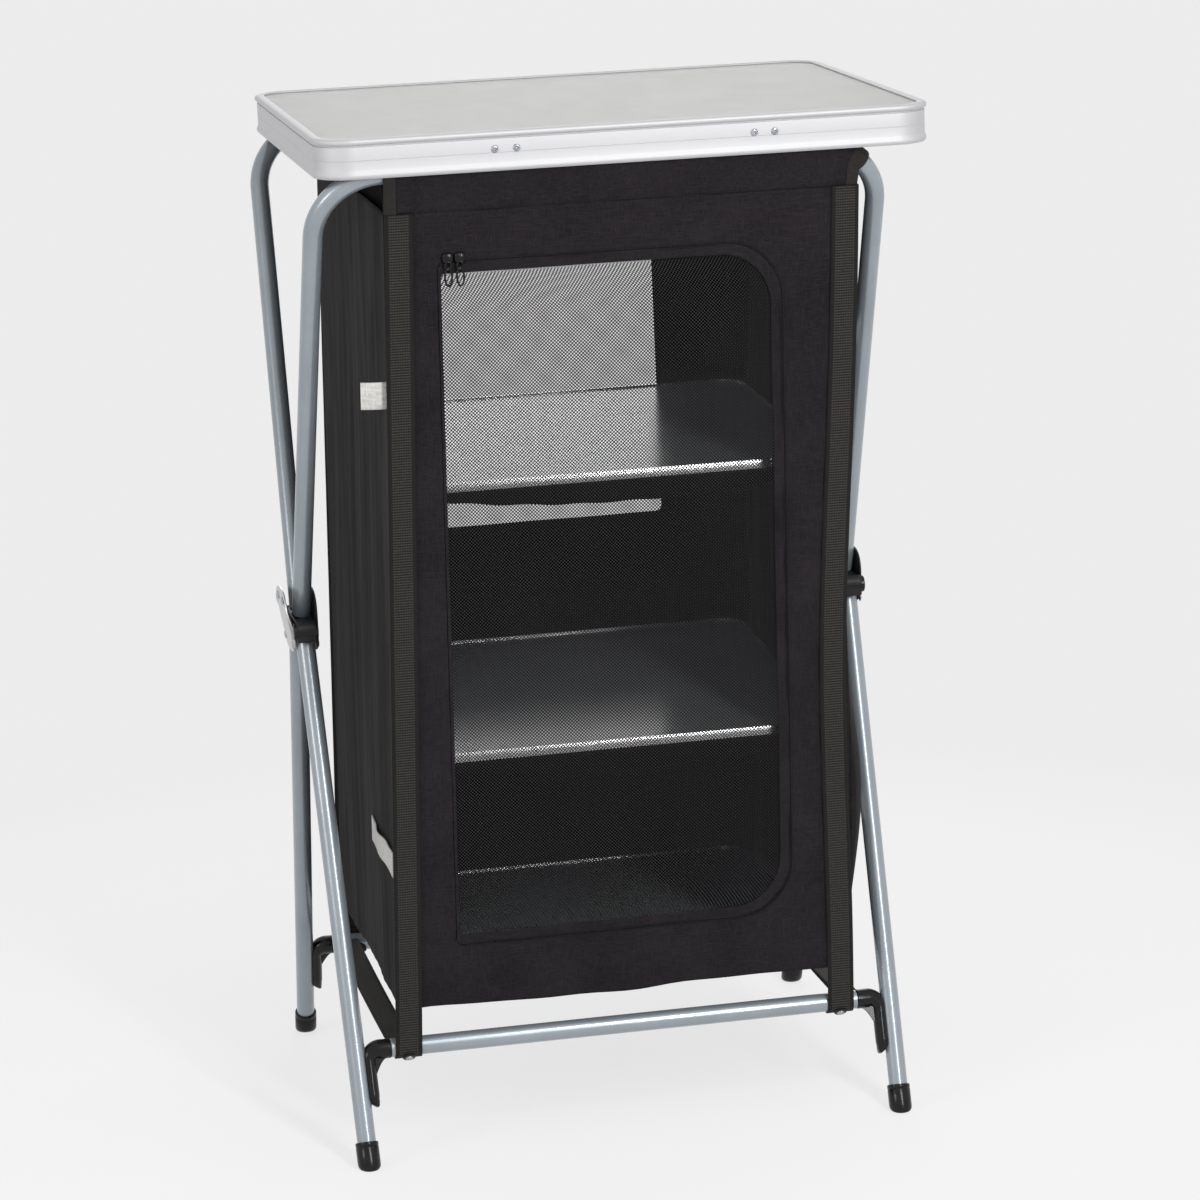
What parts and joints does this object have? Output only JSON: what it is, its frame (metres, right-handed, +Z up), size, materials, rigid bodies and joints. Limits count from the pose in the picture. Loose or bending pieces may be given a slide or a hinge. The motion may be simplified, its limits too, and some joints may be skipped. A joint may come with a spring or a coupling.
{
  "type": "camp kitchen cupboard",
  "caption": "Folding tube-frame camp kitchen cupboard with a lift-off worktop, a black cloth cabinet, shelf boards and a zipped mesh door.",
  "frame": {"origin": "on the floor, under the middle of the bounding box, which lies 14.55 mm to the right of the middle of the four feet", "axes": "+Z up, -Y towards the mesh door (front), +X to the right seen from the front"},
  "size_m": [0.623, 0.4704, 1.02],
  "materials": {
    "powder_coated_tube": "smooth blue-grey powder coat on steel tube",
    "black_moulding": "moulded black plastic",
    "black_moulding_gloss": "glossy black moulded plastic",
    "foot_rubber": "smooth black rubber",
    "bright_plate": "bright steel plate and rivets",
    "aluminium_edge": "satin silver extrusion",
    "laminate_panel": "pale grey-green laminate over board, faint grain",
    "shelf_band": "thin light silver band",
    "slate_board": "dark slate laminate, glossy",
    "net": "black polyester mesh",
    "webbing": "ribbed black webbing",
    "felt": "light grey felt",
    "zip_metal": "black coated metal",
    "cloth": "black coated polyester cloth"
  },
  "bodies": {
    "base": {"bracket_outer_left": "bright_plate", "bracket_outer_right": "bright_plate", "bracket_inner_left": "black_moulding", "bracket_inner_right": "black_moulding", "bracket_hub_left": "black_moulding", "bracket_hub_right": "black_moulding", "left_wall": "cloth", "right_wall": "cloth", "roof": "cloth", "sling_upper": "cloth", "sling_middle": "cloth", "cabinet_floor": "cloth", "tab_upper_left": "felt", "tab_upper_right": "felt", "tab_lower_left": "felt", "tab_lower_right": "felt", "belt_left": "webbing", "belt_right": "webbing"},
    "front_cloth": {"front_wall": "cloth", "strap_front_left": "webbing", "strap_front_right": "webbing"},
    "back_cloth": {"back_wall": "cloth", "window_net": "net", "strap_back_left": "webbing", "strap_back_right": "webbing"},
    "upper_front": {"upper_front_tube": "powder_coated_tube", "front_sleeve": "cloth"},
    "upper_back": {"upper_back_tube": "powder_coated_tube", "back_sleeve": "cloth"},
    "lower_front": {"lower_front_bar": "powder_coated_tube", "lower_front_leg_left": "powder_coated_tube", "lower_front_leg_right": "powder_coated_tube", "elbow_front_left": "black_moulding_gloss", "elbow_front_right": "black_moulding_gloss", "foot_front_left": "foot_rubber", "foot_front_right": "foot_rubber"},
    "lower_back": {"lower_back_bar": "powder_coated_tube", "lower_back_leg_left": "powder_coated_tube", "lower_back_leg_right": "powder_coated_tube", "elbow_back_left": "black_moulding_gloss", "elbow_back_right": "black_moulding_gloss", "foot_back_left": "foot_rubber", "foot_back_right": "foot_rubber"},
    "worktop": {"worktop_edge": "aluminium_edge", "worktop_panel": "laminate_panel", "worktop_clip_front_left": "black_moulding", "worktop_clip_front_right": "black_moulding", "worktop_clip_back_left": "black_moulding", "worktop_clip_back_right": "black_moulding"},
    "shelf_upper": {"shelf_upper": "slate_board", "shelf_upper_edging": "shelf_band"},
    "shelf_middle": {"shelf_middle": "slate_board", "shelf_middle_edging": "shelf_band"},
    "shelf_lower": {"shelf_lower": "slate_board", "shelf_lower_edging": "shelf_band"},
    "door": {"door_border": "cloth", "door_net": "net", "zip_slider_left": "zip_metal"},
    "zip": {"zip_slider_right": "zip_metal"}
  },
  "joints": [
    {"name": "frame_fold", "type": "hinge", "parent": "base", "child": "upper_front", "pos_m": [0, -0.0151, 0.53802], "axis": [-1, 0, 0], "range_deg": [0, 18], "deforming": ["left_wall", "right_wall", "roof", "sling_upper", "sling_middle", "cabinet_floor", "tab_upper_left", "tab_upper_right", "tab_lower_left", "tab_lower_right", "belt_left", "belt_right", "front_wall", "back_wall", "window_net", "door_border", "door_net", "strap_front_left", "strap_front_right", "strap_back_left", "strap_back_right"]},
    {"name": "upper_back_fold", "type": "hinge", "parent": "base", "child": "upper_back", "pos_m": [0, 0.0151, 0.53802], "axis": [1, 0, 0], "range_deg": [0, 18]},
    {"name": "lower_front_fold", "type": "hinge", "parent": "base", "child": "lower_front", "pos_m": [0, -0.0261, 0.49402], "axis": [1, 0, 0], "range_deg": [0, 18]},
    {"name": "lower_back_fold", "type": "hinge", "parent": "base", "child": "lower_back", "pos_m": [0, 0.0261, 0.49402], "axis": [-1, 0, 0], "range_deg": [0, 18]},
    {"name": "worktop_lift", "type": "slide", "parent": "base", "child": "worktop", "axis": [0, 0, 1], "range_m": [0, 0.26]},
    {"name": "shelf_upper_tip", "type": "hinge", "parent": "base", "child": "shelf_upper", "pos_m": [0, 0, 0.68141], "axis": [-1, 0, 0], "range_deg": [0, 73]},
    {"name": "shelf_middle_tip", "type": "hinge", "parent": "base", "child": "shelf_middle", "pos_m": [0, 0, 0.4157], "axis": [-1, 0, 0], "range_deg": [0, 73]},
    {"name": "shelf_lower_tip", "type": "hinge", "parent": "lower_back", "child": "shelf_lower", "pos_m": [0, 0.17, 0.17197], "axis": [-1, 0, 0], "range_deg": [0, 55]},
    {"name": "front_cloth_draw", "type": "slide", "parent": "base", "child": "front_cloth", "axis": [0, 1, 0], "range_m": [0, 0.122]},
    {"name": "back_cloth_draw", "type": "slide", "parent": "base", "child": "back_cloth", "axis": [0, -1, 0], "range_m": [0, 0.122]},
    {"name": "door_swing", "type": "hinge", "parent": "front_cloth", "child": "door", "pos_m": [-0.17635, -0.21594, 0.906], "axis": [-0.0131, 0.0339, -0.9993], "range_deg": [0, 120]},
    {"name": "zip_run", "type": "slide", "parent": "door", "child": "zip", "axis": [1, 0, 0], "range_m": [0, 0.24]}
  ],
  "couplings": [
    {"joint": "upper_back_fold", "follows": "frame_fold", "ratio": 1},
    {"joint": "lower_front_fold", "follows": "frame_fold", "ratio": 1},
    {"joint": "lower_back_fold", "follows": "frame_fold", "ratio": 1},
    {"joint": "worktop_lift", "follows": "frame_fold", "m_per_rad": 0.8},
    {"joint": "shelf_upper_tip", "follows": "frame_fold", "ratio": 4},
    {"joint": "shelf_middle_tip", "follows": "frame_fold", "ratio": 4},
    {"joint": "shelf_lower_tip", "follows": "frame_fold", "ratio": 3},
    {"joint": "front_cloth_draw", "follows": "frame_fold", "m_per_rad": 0.382},
    {"joint": "back_cloth_draw", "follows": "frame_fold", "m_per_rad": 0.382}
  ]
}
